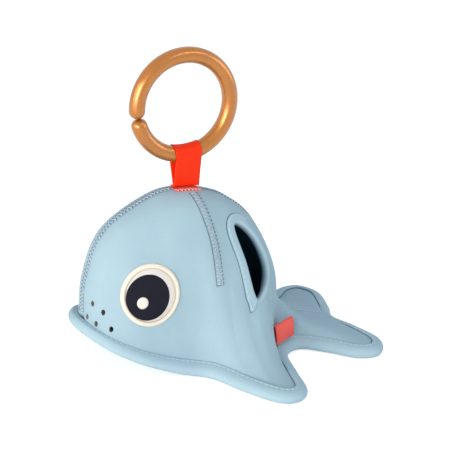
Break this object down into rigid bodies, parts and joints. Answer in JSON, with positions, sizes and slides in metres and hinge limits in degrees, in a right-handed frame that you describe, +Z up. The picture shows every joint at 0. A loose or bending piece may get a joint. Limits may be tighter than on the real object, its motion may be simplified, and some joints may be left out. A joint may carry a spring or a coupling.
{
  "type": "bath toy",
  "caption": "Hollow neoprene whale bath toy with bound edges, side openings, embroidered eyes, a hanging ring on a ribbon, a side tag and a bellows squeaker inside.",
  "frame": {"origin": "middle of the bounding box at the ground", "axes": "+Z up, nose towards -X, tail towards +X, the toy's left side towards -Y"},
  "size_m": [0.188, 0.175, 0.1797],
  "materials": {
    "neoprene": "matte smooth knit face on foam",
    "binding_tape": "matte knit tape",
    "seam_thread": "matte thread",
    "ribbon_thread": "matte thread",
    "eye_white": "satin embroidery",
    "cream_satin": "satin embroidery",
    "pupil_satin": "satin embroidery",
    "ribbon_satin": "satin ribbon",
    "gold_plastic": "pearly gold, semi-gloss",
    "tag_satin": "satin ribbon",
    "white_plastic": "moulded, matte",
    "bellows_plastic": "soft moulded, matte",
    "reed_metal": "thin strip, satin"
  },
  "bodies": {
    "shell": {"left_panel": "neoprene", "right_panel": "neoprene", "belly_panel": "neoprene", "edge_binding": "binding_tape", "left_opening_binding": "binding_tape", "right_opening_binding": "binding_tape", "front_seam_stitching": "seam_thread", "back_seam_stitching": "seam_thread", "tail_seam_stitching": "seam_thread", "left_dart_stitching": "seam_thread", "right_dart_stitching": "seam_thread", "left_ribbon_stitching": "ribbon_thread", "right_ribbon_stitching": "ribbon_thread", "left_eye_white": "eye_white", "left_eye_rim": "cream_satin", "left_pupil": "pupil_satin", "left_glint": "cream_satin", "right_eye_white": "eye_white", "right_eye_rim": "cream_satin", "right_pupil": "pupil_satin", "right_glint": "cream_satin", "squeaker_base": "white_plastic", "squeaker_bellows": "bellows_plastic"},
    "ribbon": {"ribbon_loop": "ribbon_satin"},
    "ring": {"hanging_ring": "gold_plastic"},
    "tag": {"side_tag": "tag_satin"},
    "squeaker_top": {"squeaker_cap": "white_plastic", "squeaker_reed_tube": "white_plastic", "squeaker_reed": "reed_metal"}
  },
  "joints": [
    {"name": "ribbon_fold", "type": "hinge", "parent": "shell", "child": "ribbon", "pos_m": [-0.03, 0, 0.10105], "axis": [0.9925, 0, 0.1219], "range_deg": [-60, 60]},
    {"name": "ring_spin", "type": "hinge", "parent": "ribbon", "child": "ring", "pos_m": [-0.03564, 0, 0.14696], "axis": [0, 1, 0], "continuous": true},
    {"name": "tag_flap", "type": "hinge", "parent": "shell", "child": "tag", "pos_m": [0.03221, -0.02649, 0.00855], "axis": [0.8599, 0.5105, 0], "range_deg": [0, 85]},
    {"name": "squeaker_press", "type": "slide", "parent": "shell", "child": "squeaker_top", "axis": [0, 0, -1], "range_m": [0, 0.01], "stiffness_N_per_m": 300, "deforming": ["squeaker_bellows"]}
  ]
}
